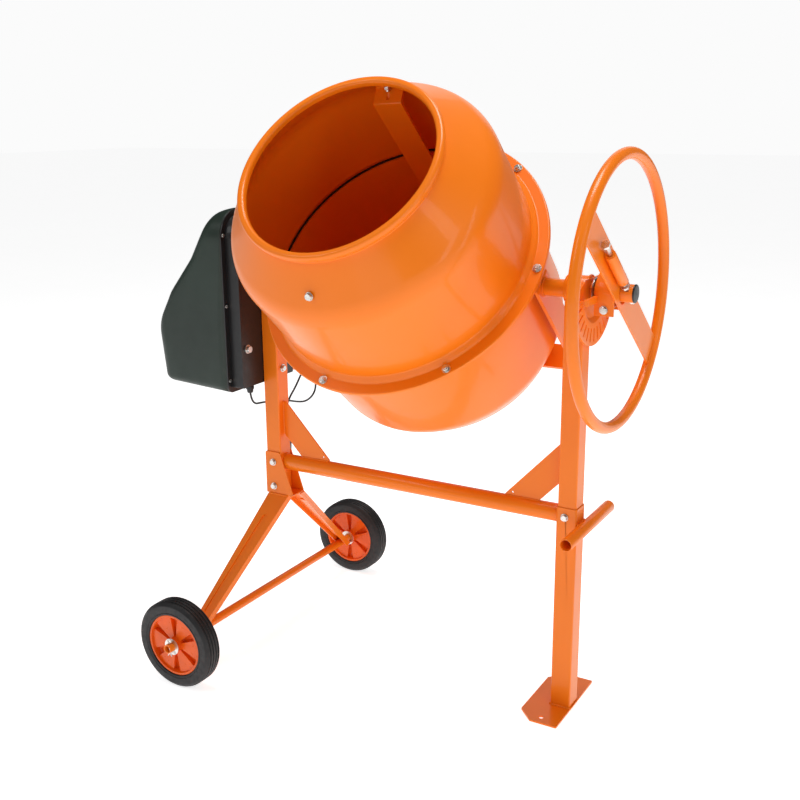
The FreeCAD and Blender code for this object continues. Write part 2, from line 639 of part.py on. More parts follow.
# ring gear: flat ring with radial teeth on its lower face, hung under the flange
RT = int(dim("ring_teeth"))
n = Node("ring_gear", TILT)
n.turn([loop([(DR + 3.5, 44), (311, 44), (311, 54), (DR + 3.5, 54)])])
tooth = n.pad_z([loop([(297.5, -4.6), (310.5, -4.8), (310.5, 4.8), (297.5, 4.6)])], 37.0, 44.5)
n.polar([tooth], RT)
lug = n.pad_z([ring(bolt_r, 0, 9.0)], 53.0, SEAL0 - ST)
n.polar([lug], 7)
hole = n.cut_z([ring(bolt_r, 0, 4.2)], 30, 70)
n.polar([hole], 7)

fb = []
for k in range(7):
    a = math.radians(360.0 / 7 * k)
    dome = hexagon(13.0, 5.5)
    dome.translate(V3(0, 0, FH + 1.6))
    one = Part.makeCylinder(4.0, FH + 1.6 - 49.0 + 4.0, V3(0, 0, 49.0)).fuse([Part.makeCylinder(9.5, 1.6, V3(0, 0, FH)), dome, Part.makeCylinder(4.0, 2.0, V3(0, 0, FH + 7.1))])
    fb.append(placed(one.removeSplitter(), Place(V3(bolt_r * math.cos(a), bolt_r * math.sin(a), 0), Rot())))
solid("flange_bolts", Part.makeCompound(fb), TILT)
# drum bearing hub under the bowl
n = Node("drum_hub", TILT)
n.turn([loop([(15.05, -287.5), (24, -287.5, 2), (24, -274, 3), (52, -274), (52, BB), (23.5, BB), (23.5, BB + 24, 2), (15.05, BB + 24)])])
hole = n.cut_z([ring(42, 0, 4.2)], BB - 12, BB + 2)
n.polar([hole], 6)
n = Node("hub_cap", TILT)
n.turn([loop([(0, -227), (28, -229, 6), (32, BB + ST + 4, 2), (52, BB + ST + 4), (52, BB + ST), (24, BB + ST), (24, -241), (0, -234)])])
hole = n.cut_z([ring(42, 0, 4.2)], BB - 2, BB + 12)
n.polar([hole], 6)
hbolts = []
for k in range(6):
    a = math.radians(60.0 * k)
    one = bolt(4.0, -274.0, BB + ST + 4.0, 13.0, 5.0, 6.6, 0.8)
    hbolts.append(placed(one, Place(V3(42 * math.cos(a), 42 * math.sin(a), 0), Rot())))

# blades: strips standing off the wall, a turned foot at each end, trimmed to the inside of the shells
BLADE_ANGLE = -86.5
BLADE_SLANT = 0.0


def strip(points, t):
    """flat bar folded along a line of points, drawn as a closed outline of the given thickness"""
    pts = [V3(p[0], p[1], 0) for p in points]
    left, right = [], []
    for i, p in enumerate(pts):
        d0 = (p - pts[i - 1]).normalize() if i else None
        d1 = (pts[i + 1] - p).normalize() if i < len(pts) - 1 else None
        if d0 is None or d1 is None:
            d = d1 if d0 is None else d0
            nrm, k = V3(-d.y, d.x, 0), t / 2.0
        else:
            n0, n1 = V3(-d0.y, d0.x, 0), V3(-d1.y, d1.x, 0)
            nrm = n0 + n1
            k = t / 2.0 / (1.0 + n0.dot(n1))
        q, w = p + nrm * k, p - nrm * k
        bend = points[i][2] if len(points[i]) > 2 else 0
        left.append((q.x, q.y, bend))
        right.append((w.x, w.y, bend))
    return loop(left + right[::-1])


inside_line = [(0, MH + 30), (MR - BD - 1, MH + 30), (MR - BD - 1, MH - 8), (DR - ST - 0.3, SH - 1.5, SF - ST), (DR - ST - 0.3, SEAL0 + 8), (DR - ST - 4.4, SEAL0 + 2),
               (DR - ST - 4.4, SEAL0 - 10), (DR + 1 - ST - 0.3, SEAL0 - 14), (DR - 5 - ST - 0.3, BH, 58), (BRD - 1.3, BB + ST + 0.3, 38), (0, BB + ST + 0.3)]
inside = tidy(loop(inside_line))
inside.Placement = Place(V3(0, 0, 0), Rot(V3(1, 0, 0), 90))
inside = inside.revolve(V3(0, 0, 0), V3(0, 0, 1), 360)

BLADE_LINE = [(230, 345), (266, 307, 4), (224, 296, 5), (226, -160, 10), (270, -203, 6), (252, -250)]
CONE_OUT = V3(0.72, 0, 0.694)
BOWL_OUT = V3(0.905, 0, -0.425)
for name, angle in (("blade_upper", BLADE_ANGLE + 180.0), ("blade_lower", BLADE_ANGLE)):
    face = tidy(strip(BLADE_LINE, 5.0))
    face.Placement = Place(V3(0, 32.0, 0), Rot(V3(1, 0, 0), 90))
    raw = face.extrude(V3(0, -64.0, 0))
    raw.rotate(V3(0, 0, 318), V3(1, 0, 0), BLADE_SLANT)
    raw.rotate(V3(0, 0, 0), V3(0, 0, 1), angle)
    drills = []
    for base, direction, reach in ((V3(256, 0, 320), CONE_OUT, 20.0),):
        c = Part.makeCylinder(4.3, 60.0, base - direction * 40.0, direction)
        c.rotate(V3(0, 0, 0), V3(0, 0, 1), angle)
        drills.append(c)
    solid(name, raw.common(inside).cut(drills[0]), TILT)

bb = []
for angle in (BLADE_ANGLE, BLADE_ANGLE + 180.0):
    k = bolt(4.0, -1.2, 9.0, 13.0, 5.5, 8.5, 1.5, nut=True, tail=3.0)
    k.rotate(V3(0, 0, 0), V3(1, 0, 0), 180)
    k = Part.makeCompound([k])
    one = placed(k, Place(V3(257.65, 0, 321.59), Rot(V3(0, 0, 1), CONE_OUT)))
    one = placed(Part.makeCompound([one]), Place(V3(0, 0, 0), Rot(V3(0, 0, 1), angle)))
    bb.append(one)


def drill(name, holes):
    """re-cut a finished body with straight round holes given as (base, direction, radius, length) in the drum frame"""
    for i, (nm, obj) in enumerate(NODES):
        if nm == name:
            break
    NODES.pop(i)
    obj.Label = name + "_blank"
    tools = []
    for j, (base, direction, r, length) in enumerate(holes):
        c = doc.addObject("Part::Cylinder", "%s_drill_%d" % (name, j))
        c.Radius, c.Height = r, length
        c.Placement = TILT.multiply(Place(base, Rot(V3(0, 0, 1), direction)))
        tools.append(c)
    both = doc.addObject("Part::MultiFuse", name + "_drills")
    both.Shapes = tools
    out = doc.addObject("Part::Cut", name)
    out.Base, out.Tool = obj, both
    keep(out, name)


turn = [Rot(V3(0, 0, 1), BLADE_ANGLE), Rot(V3(0, 0, 1), BLADE_ANGLE + 180.0)]
drill("upper_shell", [(q.multVec(V3(256, 0, 320) - CONE_OUT * 25.0), q.multVec(CONE_OUT), 4.3, 50.0) for q in turn])
solid("blade_bolts", Part.makeCompound(bb), TILT)
solid("hub_bolts", Part.makeCompound(hbolts), TILT)

# ================================================================ pinion, its shaft and the large pulley
c_, s_ = math.cos(math.radians(LEAN)), math.sin(math.radians(LEAN))
PIN = Place(FreeCAD.Matrix(0, 0, 1, MX, -s_, -c_, 0, MY, c_, -s_, 0, ZT, 0, 0, 0, 1))
n = Node("pinion_shaft", PIN)
n.pad_z([ring(0, 0, 35.5)], -311.5, -298.0)
n.pad_z([ring(0, 0, dim("shaft_radius"))], -438.0, -296.5)
a0 = math.radians(15.0)
prof = [(34.5, -4.6), (38.6, -3.3), (43.0, -2.1), (43.0, 2.1), (38.6, 3.3), (34.5, 4.6)]
prof = [(x * math.cos(a0) - y * math.sin(a0), x * math.sin(a0) + y * math.cos(a0)) for x, y in prof]
tooth = n.pad_z([loop(prof)], -311.0, -299.0)
n.polar([tooth], int(dim("pinion_teeth")))

n = Node("large_pulley", PIN)
n.turn([loop([(10, -435), (22, -435, 1), (22, -428.5), (80, -428.5), (80, -434), (PR, -434), (PR, -432.6), (R1 - 0.4, -429.6), (R1 - 0.4, -420.4), (PR, -417.4), (PR, -416),
              (80, -416), (80, -421.5), (22, -421.5), (22, -412, 1), (10, -412)])])
hole = n.cut_z([ring(51, 0, 14)], -432, -418)
n.polar([hole], 6)

n = Node("motor_rotor", along_x(0, 0, MZ))
n.turn([loop([(0, -412), (8.9, -412, 0.5), (8.9, -415), (20, -415), (20, -417.4), (R2 - 0.4, -420.4), (R2 - 0.4, -429.6), (20, -432.6), (20, -435), (8.9, -435),
              (8.9, -492), (46, -492), (46, -596), (8.9, -596), (8.9, -616), (0, -616)])])

# ================================================================ hand wheel
HX = dim("hand_wheel_x")
HR, HT = dim("hand_wheel_radius"), dim("hand_wheel_tube")
UA = math.radians(dim("spoke_angle"))
# frame with x along the spoke (from the near top end to the far lower end) and z along +X
u_ = V3(0, math.cos(UA), math.sin(UA))
w_ = V3(1, 0, 0).cross(u_)
SP = Place(FreeCAD.Matrix(u_.x, w_.x, 1, MX, u_.y, w_.y, 0, MY, u_.z, w_.z, 0, ZT, 0, 0, 0, 1))
n = Node("hand_wheel_rim", SP)
n.turn([[Part.Circle(V3(HR, HX, 0), V3(0, 0, 1), HT)]])

SW = dim("spoke_width") / 2.0
n = Node("spoke_blank", SP)
n.pad_z([rect(-263, 263, -SW, SW), ring(0, 0, 23.0)], HX - 2.0, HX + 2.0)
NODES.pop()
tor = doc.addObject("Part::Torus", "rim_clear")
tor.Radius1, tor.Radius2 = HR, HT + 0.02
tor.Placement = SP.multiply(Place(V3(0, 0, HX), Rot()))
sp_cut = doc.addObject("Part::Cut", "spoke_trimmed")
sp_cut.Base, sp_cut.Tool = n.body, tor
PVX = HX + 2.0 + 10.8
n = Node("pivot_sleeve", SP)
n.pad_x([ring(0, PVX, 11.0), ring(0, PVX, 5.08)], -148.0, -46.0)
NODES.pop()
sp_fuse = doc.addObject("Part::MultiFuse", "spoke_plate")
sp_fuse.Shapes = [sp_cut, n.body]
keep(sp_fuse, "spoke_plate")

n = Node("hub_saddle", along_x(0, 0, ZT))
n.pad_z([loop([(42, -42), (-42, -42, 41.9), (-42, 42, 41.9), (42, 42), (42, 38), (-38, 38, 37.9), (-38, -38, 37.9), (42, -38)])], 432.0, HX - 2.0)
n.cut_y([ring(30, 452, 4.2)], -60, 60)
n.pad_z([rect(3, 16, -96, -41.0)], 432.0, 440.0)
n.pad_z([rect(7.2, 11.2, -94, -83)], 421.2, 433.0)
st = bolt(4.0, -42.0, 42.0, 13.0, 5.5, 8.5, 1.5)
solid("saddle_bolt", Part.makeCompound([placed(Part.makeCompound([st]), Place(V3(452, 0, -30.0), TO_Y))]), None)
NODES[-1][1].Placement = Place(V3(MX, MY, ZT), Rot())

helix = Part.makeHelix(4.6, 20.7, 24.0)
coil_wire = Part.Wire(helix.Edges)
sec = Part.Wire(Part.makeCircle(1.4, V3(24, 0, 0), V3(0, 1, 0)))
coil = coil_wire.makePipeShell([sec], True, True)
coil.translate(V3(0, 0, 424.0))
collar = Part.makeCylinder(27.0, 2.0, V3(0, 0, 420.4)).cut(Part.makeCylinder(TR, 4.0, V3(0, 0, 419.0)))
solid("return_spring", Part.makeCompound([coil, collar]), along_x(0, 0, ZT))

pb = Part.makeCylinder(5.0, 215.0, V3(0, 0, -178.0))
hd = hexagon(16.0, 6.5)
hd.translate(V3(0, 0, -184.0))
n1 = hexagon(16.0, 8.0)
n1.translate(V3(0, 0, -32.0))
n2 = hexagon(16.0, 8.0)
n2.translate(V3(0, 0, 22.0))
w1 = Part.makeCylinder(9.5, 1.6, V3(0, 0, -34.0))
pb = pb.fuse([hd, n1, n2, w1]).removeSplitter()
solid("pivot_bolt", pb, SP.multiply(Place(V3(0, 0, PVX), Rot(V3(0, 1, 0), 90))))
drill_axle = doc.addObject("Part::Cylinder", "pivot_hole")
drill_axle.Radius, drill_axle.Height = 5.3, 60.0
drill_axle.Placement = SP.multiply(Place(V3(-30, 0, PVX), Rot(V3(0, 1, 0), 90)))
for i, (nm, obj) in enumerate(NODES):
    if nm == "trunnion_right":
        break
NODES.pop(i)
obj.Label = "trunnion_right_blank"
tr = doc.addObject("Part::Cut", "trunnion_right")
tr.Base, tr.Tool = obj, drill_axle
keep(tr, "trunnion_right")

# ================================================================ running wheels
WR, RR, WW = dim("wheel_radius"), dim("rim_radius"), dim("wheel_width") / 2.0
for side, y in (("near", NY), ("far", FY)):
    n = Node("tyre_" + side, along_y(AX, y, AZ))
    out = [(RR, -WW + 2), (RR + 4, -WW, 1.5), (96, -WW, 4), (WR - 1.2, -WW + 5.5, 2)]
    for g in (-13.2, -4.4, 4.4, 13.2):
        out += [(WR, g - 1.6), (WR - 2.4, g - 1.2), (WR - 2.4, g + 1.2), (WR, g + 1.6)]
    out += [(WR - 1.2, WW - 5.5, 2), (96, WW, 4), (RR + 4, WW, 1.5), (RR, WW - 2)]
    n.turn([loop(out)])
    n = Node("hub_" + side, along_y(AX, y, AZ))
    n.turn([loop([(AR + 0.08, -26), (17, -26, 2), (19.5, -4.5, 3), (65, -4.5, 4), (68, -20.5, 1), (RR, -20.5, 1.5), (RR, 20.5, 1.5), (68, 20.5, 1), (65, 4.5, 4), (19.5, 4.5, 3),
                  (17, 26, 2), (AR + 0.08, 26)])])
    rib = n.pad_z([loop([(15.5, -6.0, 0), (66.5, -26.0, 5), (66.5, 26.0, 5), (15.5, 6.0, 0)])], -15.0, 15.0)
    n.polar([rib], 6)


# ---------------------------------------------------------------- check and write
doc.recompute()
os.makedirs("parts", exist_ok=True)
bad = 0
for name, obj in NODES:
    st = [x for x in obj.State if x in ("Invalid", "Error")]
    ok = (not obj.Shape.isNull()) and obj.Shape.isValid()
    if st or not ok:
        print("BAD", name, obj.State, ok)
        bad += 1
for o in doc.Objects:
    if "Invalid" in o.State or "Error" in o.State:
        print("object in error:", o.Name, o.Label, o.State)
        bad += 1
if bad:
    raise SystemExit("bad objects")
for name, obj in NODES:
    obj.Shape.exportStep("parts/%s.step" % name)
print(len(NODES), "nodes")
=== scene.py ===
import json
import math
import random

import bmesh
import bpy
from mathutils import Matrix, Vector


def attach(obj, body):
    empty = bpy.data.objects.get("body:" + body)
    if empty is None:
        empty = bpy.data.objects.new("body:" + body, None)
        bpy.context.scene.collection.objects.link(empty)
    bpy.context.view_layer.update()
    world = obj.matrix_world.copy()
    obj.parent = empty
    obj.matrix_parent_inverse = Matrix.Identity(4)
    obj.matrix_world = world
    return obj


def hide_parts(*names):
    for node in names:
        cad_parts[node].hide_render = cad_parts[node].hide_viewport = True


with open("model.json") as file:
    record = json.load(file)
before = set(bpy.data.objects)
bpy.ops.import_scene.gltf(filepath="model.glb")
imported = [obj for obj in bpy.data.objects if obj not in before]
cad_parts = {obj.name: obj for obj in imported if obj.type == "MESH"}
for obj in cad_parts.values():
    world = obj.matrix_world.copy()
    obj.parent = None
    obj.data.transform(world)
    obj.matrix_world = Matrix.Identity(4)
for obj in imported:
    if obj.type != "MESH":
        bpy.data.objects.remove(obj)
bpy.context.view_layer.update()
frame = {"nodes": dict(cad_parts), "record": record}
NODES = frame["nodes"]
SLOT_OF = {s["node"]: s["material_slot"] for s in frame["record"]["subparts"]}
scene = bpy.context.scene
coll = scene.collection

# ------------------------------------------------------------------ shared frame, millimetres to metres
MX, MY = 76.206, 0.489
ZT = 932.6
LEAN = math.radians(48.7)
TILT = Matrix.Translation(((MX) / 1000, MY / 1000, ZT / 1000)) @ Matrix.Rotation(LEAN, 4, "X")


def P(x, y, z):
    return Vector(((x + MX) / 1000, (y + MY) / 1000, z / 1000))


def along_y(x, y, z):
    return Matrix.Translation(P(x, y, z)) @ Matrix.Rotation(-math.pi / 2, 4, "X")


def along_x(x, y, z):
    return Matrix.Translation(P(x, y, z)) @ Matrix.Rotation(math.pi / 2, 4, "Y")


def on_drum(x, y, z):
    return TILT @ Vector((x / 1000, y / 1000, z / 1000))


# ------------------------------------------------------------------ materials
def material(name, base, rough, metal=0.0, coat=0.0, coat_rough=0.06, vary=0.06, vary_scale=9.0, warm=None, rough_vary=0.05,
             grain_scale=700.0, grain=0.05, grain_depth=0.0002, second=None, ior=1.5, stretch=None, spec=0.5):
    m = bpy.data.materials.new(name)
    m.use_nodes = True
    nt = m.node_tree
    nt.nodes.clear()
    out = nt.nodes.new("ShaderNodeOutputMaterial")
    b = nt.nodes.new("ShaderNodeBsdfPrincipled")
    nt.links.new(b.outputs["BSDF"], out.inputs["Surface"])
    b.inputs["Metallic"].default_value = metal
    b.inputs["IOR"].default_value = ior
    b.inputs["Specular IOR Level"].default_value = spec
    b.inputs["Coat Weight"].default_value = coat
    b.inputs["Coat Roughness"].default_value = coat_rough
    tc = nt.nodes.new("ShaderNodeTexCoord")
    src = tc.outputs["Object"]
    if stretch:
        mp = nt.nodes.new("ShaderNodeMapping")
        mp.inputs["Scale"].default_value = stretch
        nt.links.new(src, mp.inputs["Vector"])
        src = mp.outputs["Vector"]
    low = nt.nodes.new("ShaderNodeTexNoise")
    low.inputs["Scale"].default_value = vary_scale
    low.inputs["Detail"].default_value = 5.0
    nt.links.new(src, low.inputs["Vector"])
    ramp = nt.nodes.new("ShaderNodeValToRGB")
    dark = [c * (1 - vary) for c in base]
    light = [min(1.0, c * (1 + vary)) for c in (warm or base)]
    ramp.color_ramp.elements[0].position = 0.3
    ramp.color_ramp.elements[0].color = (*dark, 1)
    ramp.color_ramp.elements[1].position = 0.7
    ramp.color_ramp.elements[1].color = (*light, 1)
    nt.links.new(low.outputs["Fac"], ramp.inputs["Fac"])
    colour = ramp.outputs["Color"]
    if second:
        scale, lo, hi, col, amount = second
        n2 = nt.nodes.new("ShaderNodeTexNoise")
        n2.inputs["Scale"].default_value = scale
        n2.inputs["Detail"].default_value = 8.0
        n2.inputs["Roughness"].default_value = 0.65
        nt.links.new(src, n2.inputs["Vector"])
        mr = nt.nodes.new("ShaderNodeMapRange")
        mr.inputs["From Min"].default_value = lo
        mr.inputs["From Max"].default_value = hi
        mr.inputs["To Max"].default_value = amount
        nt.links.new(n2.outputs["Fac"], mr.inputs["Value"])
        mx = nt.nodes.new("ShaderNodeMix")
        mx.data_type = "RGBA"
        mx.inputs["B"].default_value = (0, 0, 0, 1)
        sock = [s for s in mx.inputs if s.type == "RGBA"]
        sock[1].default_value = (*col, 1)
        nt.links.new(mr.outputs["Result"], mx.inputs[0])
        nt.links.new(colour, sock[0])
        colour = [s for s in mx.outputs if s.type == "RGBA"][0]
    nt.links.new(colour, b.inputs["Base Color"])
    mid = nt.nodes.new("ShaderNodeTexNoise")
    mid.inputs["Scale"].default_value = vary_scale * 5
    mid.inputs["Detail"].default_value = 6.0
    nt.links.new(src, mid.inputs["Vector"])
    rr = nt.nodes.new("ShaderNodeMapRange")
    rr.inputs["From Min"].default_value = 0.3
    rr.inputs["From Max"].default_value = 0.7
    rr.inputs["To Min"].default_value = max(0.02, rough - rough_vary)
    rr.inputs["To Max"].default_value = rough + rough_vary
    nt.links.new(mid.outputs["Fac"], rr.inputs["Value"])
    nt.links.new(rr.outputs["Result"], b.inputs["Roughness"])
    fine = nt.nodes.new("ShaderNodeTexNoise")
    fine.inputs["Scale"].default_value = grain_scale
    fine.inputs["Detail"].default_value = 3.0
    nt.links.new(src, fine.inputs["Vector"])
    bump = nt.nodes.new("ShaderNodeBump")
    bump.inputs["Strength"].default_value = grain
    bump.inputs["Distance"].default_value = grain_depth
    nt.links.new(fine.outputs["Fac"], bump.inputs["Height"])
    nt.links.new(bump.outputs["Normal"], b.inputs["Normal"])
    return m


ORANGE = (0.93, 0.202, 0.004)
MATS = {
    "orange_paint": material("orange_powder_coat", ORANGE, 0.36, coat=0.22, coat_rough=0.08, vary=0.012, vary_scale=5.0,
                             warm=(0.95, 0.212, 0.005), rough_vary=0.02, grain_scale=420.0, grain=0.10, grain_depth=0.00025, spec=0.28),
    "orange_plastic": material("orange_moulding", (0.84, 0.105, 0.003), 0.30, spec=0.3, coat=0.15, coat_rough=0.1, vary=0.05, vary_scale=18.0,
                               warm=(0.90, 0.125, 0.004), grain_scale=900.0, grain=0.05),
    "tyre_rubber": material("tyre_rubber", (0.010, 0.010, 0.011), 0.55, vary=0.25, vary_scale=22.0, rough_vary=0.1, grain_scale=1100.0,
                            grain=0.25, grain_depth=0.0003, second=(60.0, 0.52, 0.75, (0.035, 0.033, 0.031), 0.4)),
    "black_rubber": material("black_rubber", (0.012, 0.012, 0.012), 0.45, vary=0.2, vary_scale=30.0, grain_scale=1500.0, grain=0.12),
    "zinc_steel": material("zinc_plate", (0.66, 0.66, 0.64), 0.30, metal=1.0, vary=0.08, vary_scale=120.0, warm=(0.74, 0.73, 0.69),
                           rough_vary=0.1, grain_scale=1500.0, grain=0.15, grain_depth=0.0001, second=(300.0, 0.6, 0.8, (0.3, 0.29, 0.27), 0.4)),
    "machined_steel": material("turned_steel", (0.42, 0.42, 0.43), 0.32, metal=1.0, vary=0.1, vary_scale=90.0, rough_vary=0.1,
                               grain_scale=1800.0, grain=0.2, grain_depth=0.0001, second=(240.0, 0.58, 0.8, (0.16, 0.15, 0.13), 0.5)),
    "cast_metal": material("cast_iron", (0.09, 0.088, 0.085), 0.55, metal=0.6, vary=0.2, vary_scale=60.0, rough_vary=0.12,
                           grain_scale=500.0, grain=0.5, grain_depth=0.0006, second=(150.0, 0.56, 0.8, (0.12, 0.07, 0.045), 0.4)),
    "green_plastic": material("green_moulding", (0.010, 0.023, 0.015), 0.42, vary=0.12, vary_scale=7.0, warm=(0.013, 0.028, 0.019),
                              rough_vary=0.06, grain_scale=1400.0, grain=0.30, grain_depth=0.0002),
    "black_plastic": material("black_moulding", (0.010, 0.010, 0.011), 0.38, vary=0.15, vary_scale=16.0, rough_vary=0.07,
                              grain_scale=1500.0, grain=0.25, grain_depth=0.0002),
    "bronze": material("sintered_bronze", (0.52, 0.33, 0.14), 0.42, metal=1.0, vary=0.1, vary_scale=80.0, grain_scale=1600.0, grain=0.3),
    "motor_casting": material("die_casting", (0.40, 0.41, 0.42), 0.48, metal=0.9, vary=0.08, vary_scale=40.0, grain_scale=700.0,
                              grain=0.35, grain_depth=0.0003),
    "green_button": material("green_cap", (0.015, 0.22, 0.045), 0.25, coat=0.4, vary=0.06, vary_scale=90.0, grain_scale=1500.0, grain=0.05),
    "red_button": material("red_cap", (0.50, 0.012, 0.010), 0.25, coat=0.4, vary=0.06, vary_scale=90.0, grain_scale=1500.0, grain=0.05),
}
for n, o in NODES.items():
    o.data.materials.clear()
    o.data.materials.append(MATS[SLOT_OF[n]])


# ------------------------------------------------------------------ mesh helpers
def new_mesh(name, verts, faces, slot, body, sharp=35.0, matrix=None):
    me = bpy.data.meshes.new(name)
    me.from_pydata([tuple(v) for v in verts], [], faces)
    me.validate()
    bm = bmesh.new()
    bm.from_mesh(me)
    bmesh.ops.recalc_face_normals(bm, faces=bm.faces)
    bm.to_mesh(me)
    bm.free()
    me.polygons.foreach_set("use_smooth", [True] * len(me.polygons))
    me.set_sharp_from_angle(angle=math.radians(sharp))
    o = bpy.data.objects.new(name, me)
    coll.objects.link(o)
    if matrix is not None:
        me.transform(matrix)
    me.materials.append(MATS[slot])
    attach(o, body)
    return o


def rounded(points, step=8.0, closed=True):
    """a line of (a, b[, radius]) corners turned into points, with each radius as an arc"""
    pts = [Vector((p[0], p[1])) for p in points]
    n = len(pts)
    out = []
    for i in range(n):
        rad = points[i][2] if len(points[i]) > 2 else 0
        if rad <= 0 or (not closed and i in (0, n - 1)):
            out.append(pts[i])
            continue
        a, b, c = pts[i - 1], pts[i], pts[(i + 1) % n]
        u, w = (a - b), (c - b)
        lu, lw = u.length, w.length
        u.normalize()
        w.normalize()
        half = u.angle(w) / 2
        if half > math.pi / 2 - 1e-3:
            out.append(b)
            continue
        cut = rad / math.tan(half)
        cut = min(cut, lu * 0.499, lw * 0.499)
        r = cut * math.tan(half)
        mid = (u + w).normalized()
        ctr = b + mid * (r / math.sin(half))
        p, q = b + u * cut, b + w * cut
        a0 = math.atan2(p.y - ctr.y, p.x - ctr.x)
        a1 = math.atan2(q.y - ctr.y, q.x - ctr.x)
        d = (a1 - a0 + math.pi) % (2 * math.pi) - math.pi
        k = max(2, int(abs(math.degrees(d)) / step) + 1)
        for j in range(k + 1):
            t = a0 + d * j / k
            out.append(Vector((ctr.x + r * math.cos(t), ctr.y + r * math.sin(t))))
    keep = [out[0]]
    for p in out[1:]:
        if (p - keep[-1]).length > 1e-4:
            keep.append(p)
    return keep


def lathe(name, profile, segs, slot, body, matrix, sharp=35.0, step=8.0):
    """a closed outline of (radius, height[, corner]) in millimetres, turned about the height axis"""
    prof = rounded(profile, step)
    n = len(prof)
    verts, faces = [], []
    for k in range(segs):
        a = 2 * math.pi * k / segs
        c, s = math.cos(a), math.sin(a)
        for p in prof:
            verts.append((p.x / 1000 * c, p.x / 1000 * s, p.y / 1000))
    for k in range(segs):
        k2 = (k + 1) % segs
        for i in range(n):
            j = (i + 1) % n
            faces.append((k * n + i, k2 * n + i, k2 * n + j, k * n + j))
    return new_mesh(name, verts, faces, slot, body, sharp, matrix)


def tube(name, points, radius, slot, body, sides=12, ripple=0.0, seed=1, closed=False):
    """a round bar or weld bead along points; ripple swells it unevenly, as laid weld does"""
    rnd = random.Random(seed)
    pts = [Vector(p) for p in points]
    dense = []
    step = radius * (0.55 if ripple else 3.0)
    for a, b in zip(pts, pts[1:] + ([pts[0]] if closed else [])):
        m = max(1, int((b - a).length / step))
        for k in range(m):
            dense.append(a.lerp(b, k / m))
    if not closed:
        dense.append(pts[-1])
    verts, faces = [], []
    up = Vector((0.31, 0.22, 0.93)).normalized()
    n = len(dense)
    for i, p in enumerate(dense):
        a = dense[i - 1] if (i or closed) else p
        b = dense[(i + 1) % n] if (i < n - 1 or closed) else p
        d = (b - a).normalized()
        x = d.cross(up)
        if x.length < 0.05:
            x = d.cross(Vector((1, 0, 0)))
        x.normalize()
        y = x.cross(d).normalized()
        r = radius * (1 + ripple * (0.6 * math.sin(i * 1.9) + 0.5 * (rnd.random() - 0.5)))
        if not closed and ripple and i in (0, n - 1):
            r *= 0.4
        for k in range(sides):
            t = 2 * math.pi * k / sides
            verts.append(p + x * (r * math.cos(t)) + y * (r * math.sin(t)))
    loops = n if closed else n - 1
    for i in range(loops):
        j = (i + 1) % n
        for k in range(sides):
            k2 = (k + 1) % sides
            faces.append((i * sides + k, i * sides + k2, j * sides + k2, j * sides + k))
    if not closed:
        faces.append(tuple(range(sides))[::-1])
        faces.append(tuple((n - 1) * sides + k for k in range(sides)))
    return new_mesh(name, verts, faces, slot, body, 60.0)


# ------------------------------------------------------------------ drum shells, turned smooth
DR, ST, SH, SF = 292.0, 2.5, 285.0, 70.0
MR, MH, BD = 209.0, 376.7, 8.0
FR, FH = 326.5, 66.0
BH, BB, BRD = -190.0, -270.0, 243.0
SEAL0 = FH - ST - 2.0
upper = lathe("drum_upper_skin", [(FR, FH - 9, 1), (FR, FH, 3), (303, FH, 3), (300, FH + 4.5, 2), (DR, FH + 12, 8), (DR, SH, SF), (MR + 3, MH - 12, 3),
                                  (MR + BD, MH - 4, 4), (MR + BD, MH + BD, 7.9), (MR - BD, MH + BD, 7.9), (MR - BD, MH - 6, 4), (MR + 0.6, MH - 12, 3),
                                  (DR - ST, SH - 1.5, SF - ST), (DR - ST, FH + 11, 6), (298, FH + 3.0, 2), (300, FH - ST, 0), (FR - ST, FH - ST, 1), (FR - ST, FH - 9, 1)],
              256, "orange_paint", "drum", TILT, step=5.0)
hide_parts("upper_shell")
lower = lathe("drum_lower_skin", [(FR - ST - 1.5, SEAL0), (FR - ST - 1.5, SEAL0 - ST), (DR + 6, SEAL0 - ST, 4), (DR + 1, SEAL0 - 10, 4), (DR - 5, BH, 60), (BRD, BB, 40), (24, BB),
                                  (24, BB + ST), (BRD - 1, BB + ST, 38), (DR - 5 - ST, BH, 58), (DR + 1 - ST, SEAL0 - 10, 4), (DR - ST + 2, SEAL0, 0)],
              256, "orange_paint", "drum", TILT, step=5.0)
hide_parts("lower_shell")

# ------------------------------------------------------------------ tyres
WR, RR, WW = 104.0, 73.6, 23.5
for side, y in (("near", -350.5), ("far", 385.5)):
    prof = [(RR, -WW + 2), (RR + 1.5, -WW + 0.4, 1), (RR + 4, -WW, 1), (77.5, -WW, 0.6), (78.5, -WW + 1.1, 0.6), (80, -WW + 1.1, 0.6), (81, -WW, 0.6), (96, -WW, 4), (WR - 1.2, -WW + 5.5, 2)]
    for g in (-13.2, -4.4, 4.4, 13.2):
        prof += [(WR, g - 1.9, 0.9), (WR - 2.4, g - 1.2, 0.5), (WR - 2.4, g + 1.2, 0.5), (WR, g + 1.9, 0.9)]
    prof += [(WR - 1.2, WW - 5.5, 2), (96, WW, 4), (81, WW, 0.6), (80, WW - 1.1, 0.6), (78.5, WW - 1.1, 0.6), (77.5, WW, 0.6), (RR + 4, WW, 1), (RR + 1.5, WW - 0.4, 1), (RR, WW - 2)]
    t = lathe("tyre_%s_skin" % side, prof, 160, "tyre_rubber", "wheel_" + side, along_y(-423.3, y, 104), step=18.0)
    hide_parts("tyre_" + side)

# ------------------------------------------------------------------ hand wheel rim
UA = math.radians(-37.2)
HX, HR, HT = 474.3, 268.0, 12.0
ring = lathe("hand_wheel_rim_skin", [(HR + HT * math.cos(t), HT * math.sin(t)) for t in [2 * math.pi * k / 28 for k in range(28)]], 200,
             "orange_paint", "hand_wheel", along_x(HX, 0, ZT), sharp=80.0)
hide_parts("hand_wheel_rim")

